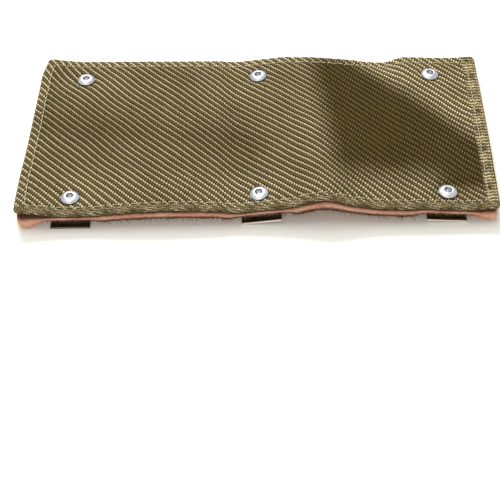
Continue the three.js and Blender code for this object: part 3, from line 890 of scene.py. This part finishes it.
def rivet_profile():
    """From the foot of the bulb up outside, over the dome and down into the crater."""
    profile = [(1.45, -0.9), (2.2, -1.15), (2.9, -1.1), (3.35, -0.5), (3.4, 0.4), (3.2, 1.3), (2.8, 1.9)]
    profile = [(r, STRAP_STAND_OFF - 0.02 + (z - 1.95) * 1.0) for r, z in profile]
    profile += [(2.4, STRAP_STAND_OFF), (2.4, HEAD_SEAT - 0.2), (2.6, HEAD_SEAT)]
    profile += [(HEAD_RADIUS - 0.25, HEAD_SEAT), (HEAD_RADIUS - 0.05, HEAD_SEAT + 0.12)]
    rim = HEAD_SEAT + 0.55
    profile += [(HEAD_RADIUS, HEAD_SEAT + 0.32), (HEAD_RADIUS - 0.08, rim)]
    crater = 2.6
    top = HEAD_SEAT + HEAD_HEIGHT
    for s in np.linspace(0.08, 1, 14):
        radius = HEAD_RADIUS - 0.08 - (HEAD_RADIUS - 0.08 - crater - 0.25) * s
        profile.append((radius, rim + (top - rim) * np.sin(s * np.pi / 2) ** 0.85))
    profile += [(crater + 0.08, top - 0.03), (crater - 0.08, top - 0.16), (crater - 0.18, top - 0.45)]
    profile += [(crater - 0.25, top - 1.0), (crater - 0.42, top - 1.3), (1.42, top - 1.4), (1.40, top - 2.4)]
    return profile


def pin_profile():
    top = HEAD_SEAT + HEAD_HEIGHT - 1.05
    low = STRAP_STAND_OFF - 3.4
    return [
        (0.01, low - 0.1), (1.2, low - 0.05), (1.9, low + 0.2), (2.15, low + 0.6), (1.95, low + 1.0),
        (1.35, low + 1.25), (1.35, top - 0.25), (1.28, top - 0.08), (1.05, top), (0.75, top - 0.02),
        (0.5, top + 0.08), (0.01, top + 0.12),
    ]


for name, place, tilt, lift in STRAPS:
    station = Matrix.Translation((place * MM, 0, lift * MM)) @ Matrix.Rotation(tilt, 4, "Y")
    refined_strap(name, place, tilt, lift)
    for end, y in RIVET_ROWS.items():
        turned(
            f"dome_rivet_{name}_{end}", rivet_profile(), 48, "rivet_aluminium", rivet_metal, station, y,
            f"rivet_{name}_{end}",
        )
        turned(
            f"mandrel_pin_{name}_{end}", pin_profile(), 20, "mandrel_steel", pin_metal, station, y,
            f"mandrel_{name}_{end}", 0.04,
        )


# Floor, pale, with a white glow to the eye that fades out under the pad so that its shadow stays
FLOOR_GLOW = 0.34
GLOW_STARTS = {"X": 0.138, "Y": 0.060}
GLOW_FADE = 0.045


def floor():
    steps = np.linspace(-2600, 2600, 9)
    gx, gy = np.meshgrid(steps, steps)
    points = np.stack([gx, gy, np.zeros_like(gx)], -1).reshape(-1, 3)
    material, nodes, links, shader = new_material("floor_white")
    shader.inputs["Base Color"].default_value = (0.94, 0.93, 0.83, 1)
    shader.inputs["Roughness"].default_value = 0.45
    shader.inputs["Specular IOR Level"].default_value = 0.25
    mesh = bpy.data.meshes.new("floor")
    mesh.from_pydata((points * MM).tolist(), [], grid_faces(9, 9).tolist())
    path = nodes.new("ShaderNodeLightPath")
    seen = compute(nodes, links, "MAXIMUM", path.outputs["Is Camera Ray"], path.outputs["Is Glossy Ray"])
    glow = nodes.new("ShaderNodeEmission")
    glow.inputs["Color"].default_value = (1, 1, 1, 1)
    parts = nodes.new("ShaderNodeSeparateXYZ")
    links.new(position(nodes), parts.inputs[0])
    beyond = []
    for axis, start in GLOW_STARTS.items():
        past = nodes.new("ShaderNodeMapRange")
        past.interpolation_type = "SMOOTHSTEP"
        past.inputs["From Min"].default_value = start
        past.inputs["From Max"].default_value = start + GLOW_FADE
        past.inputs["To Max"].default_value = FLOOR_GLOW
        links.new(compute(nodes, links, "ABSOLUTE", parts.outputs[axis]), past.inputs["Value"])
        beyond.append(past.outputs["Result"])
    apart = compute(nodes, links, "MAXIMUM", *beyond)
    links.new(compute(nodes, links, "MULTIPLY", seen, apart), glow.inputs["Strength"])
    both = nodes.new("ShaderNodeAddShader")
    links.new(shader.outputs[0], both.inputs[0])
    links.new(glow.outputs[0], both.inputs[1])
    links.new(both.outputs[0], nodes["Material Output"].inputs["Surface"])
    mesh.materials.append(material)
    piece = bpy.data.objects.new("floor", mesh)
    bpy.context.scene.collection.objects.link(piece)


floor()


# World, white where it is seen or mirrored, and a soft grey dome as light
def world():
    made = bpy.data.worlds.new("studio")
    bpy.context.scene.world = made
    made.use_nodes = True
    nodes, links = made.node_tree.nodes, made.node_tree.links
    path = nodes.new("ShaderNodeLightPath")
    place = nodes.new("ShaderNodeTexCoord").outputs["Generated"]
    parts = nodes.new("ShaderNodeSeparateXYZ")
    links.new(place, parts.inputs[0])
    greys = [(0.0, (0.62, 0.62, 0.62)), (0.25, (0.42, 0.42, 0.43)), (0.8, (0.22, 0.22, 0.23))]
    dome = ramp(nodes, links, parts.outputs["Z"], greys)
    straight = [path.outputs[kind] for kind in ("Is Camera Ray", "Is Transmission Ray")]
    seen = compute(nodes, links, "MAXIMUM", *straight)
    shown = compute(nodes, links, "MAXIMUM", seen, path.outputs["Is Glossy Ray"])
    colour = mix(nodes, links, shown, dome, (1.0, 1.0, 1.0))
    links.new(colour, nodes["Background"].inputs["Color"])
    nodes["Background"].inputs["Strength"].default_value = 1.0


world()


def placed(axes, place):
    """A station from its three axes and its place in metres."""
    rows = [[*row, p] for row, p in zip(np.stack(axes, -1), place)]
    return Matrix(rows + [[0, 0, 0, 1]])


# Lamps
def lamp(name, place, size, power):
    """A rectangular lamp that looks at the middle of the pad."""
    data = bpy.data.lights.new(name, "AREA")
    data.shape = "RECTANGLE"
    data.size, data.size_y = size
    data.energy = power
    made = bpy.data.objects.new(name, data)
    bpy.context.scene.collection.objects.link(made)
    place = np.array(place, float)
    back = place / np.linalg.norm(place)
    side = np.cross([0, 0, 1], back)
    side /= np.linalg.norm(side)
    up = np.cross(back, side)
    made.matrix_world = placed([side, up, back], place)


lamp("back_key", (-0.18, 1.10, 1.35), (0.9, 0.45), 26.0)
lamp("top_fill", (-0.3, 0.1, 1.7), (1.2, 1.0), 10.0)
lamp("front_fill", (-0.2, -1.45, 0.95), (1.4, 0.4), 7.0)


# Camera
def camera():
    place = np.array([5.14, -650.3, 576.5]) * MM
    yaw, pitch, roll = np.radians([-1.078, 46.215, -1.50])
    right = np.array([np.cos(yaw), -np.sin(yaw), 0])
    forward = np.array([np.sin(yaw) * np.cos(pitch), np.cos(yaw) * np.cos(pitch), -np.sin(pitch)])
    up = np.cross(right, forward)
    turned_right = np.cos(roll) * right + np.sin(roll) * up
    turned_up = -np.sin(roll) * right + np.cos(roll) * up
    data = bpy.data.cameras.new("photo_camera")
    data.sensor_fit = "HORIZONTAL"
    data.sensor_width = 36
    data.lens = 1277.2 / 500 * 36
    data.clip_start, data.clip_end = 0.02, 20
    made = bpy.data.objects.new("photo_camera", data)
    bpy.context.scene.collection.objects.link(made)
    made.matrix_world = placed([turned_right, turned_up, -forward], place)
    bpy.context.scene.camera = made


camera()
bpy.context.scene.view_settings.view_transform = "Standard"
